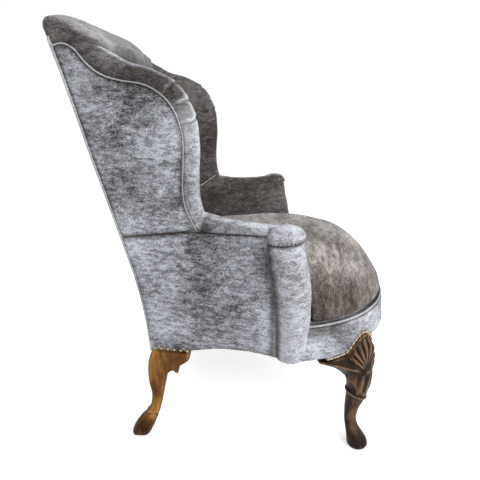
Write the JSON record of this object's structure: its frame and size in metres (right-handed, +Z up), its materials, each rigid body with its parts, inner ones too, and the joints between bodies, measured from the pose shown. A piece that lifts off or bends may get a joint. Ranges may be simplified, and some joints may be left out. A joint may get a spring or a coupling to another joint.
{
  "type": "wing armchair",
  "caption": "Upholstered velvet wing armchair with a round seat front, upright scroll arms, a loose crowned seat cushion and carved cabriole legs.",
  "frame": {"origin": "on the floor, at the middle of the chair's footprint box", "axes": "+Z up, -Y is the way the chair faces, +X the sitter's left"},
  "size_m": [0.7472, 0.8289, 1.0501],
  "materials": {
    "velvet": "crushed silver-taupe velvet",
    "lining": "black woven lining",
    "jute": "woven jute",
    "filling": "off-white filling",
    "beech": "sawn beech",
    "leg_wood": "waxed dark mahogany",
    "brass": "aged brass",
    "steel": "bright steel"
  },
  "bodies": {
    "chair": {"back_webbing": "jute", "brass_nails": "brass", "corner_block_screws": "steel", "corner_blocks": "beech", "crest_rail": "beech", "dust_cover": "lining", "frame_dowels": "beech", "front_border": "velvet", "front_border_welt": "velvet", "front_knee_blocks": "leg_wood", "front_left_leg": "leg_wood", "front_right_leg": "leg_wood", "front_seat_rail": "beech", "inside_back_pad": "velvet", "left_arm_cap": "velvet", "left_arm_pad": "velvet", "left_arm_rail": "beech", "left_arm_scroll": "velvet", "left_arm_stump": "beech", "left_outside_arm_panel": "velvet", "left_outside_wing_panel": "velvet", "left_rear_post": "beech", "left_seat_rail": "beech", "left_wing_pad": "velvet", "left_wing_post": "beech", "left_wing_rail": "beech", "left_wing_welt": "velvet", "lower_back_rail": "beech", "outside_back_panel": "velvet", "outside_back_welts": "velvet", "rear_knee_blocks": "leg_wood", "rear_left_leg": "leg_wood", "rear_right_leg": "leg_wood", "rear_seat_rail": "beech", "right_arm_cap": "velvet", "right_arm_pad": "velvet", "right_arm_rail": "beech", "right_arm_scroll": "velvet", "right_arm_stump": "beech", "right_outside_arm_panel": "velvet", "right_outside_wing_panel": "velvet", "right_rear_post": "beech", "right_seat_rail": "beech", "right_wing_pad": "velvet", "right_wing_post": "beech", "right_wing_rail": "beech", "right_wing_welt": "velvet", "seat_deck_pad": "velvet", "seat_hessian": "jute", "seat_springs": "steel", "spring_clips": "steel"},
    "seat_cushion": {"cushion_cover": "velvet", "cushion_filling": "filling"}
  },
  "joints": [
    {"name": "cushion_lift", "type": "slide", "parent": "chair", "child": "seat_cushion", "axis": [0, -0.9, 0.436], "range_m": [0, 0.65]}
  ]
}
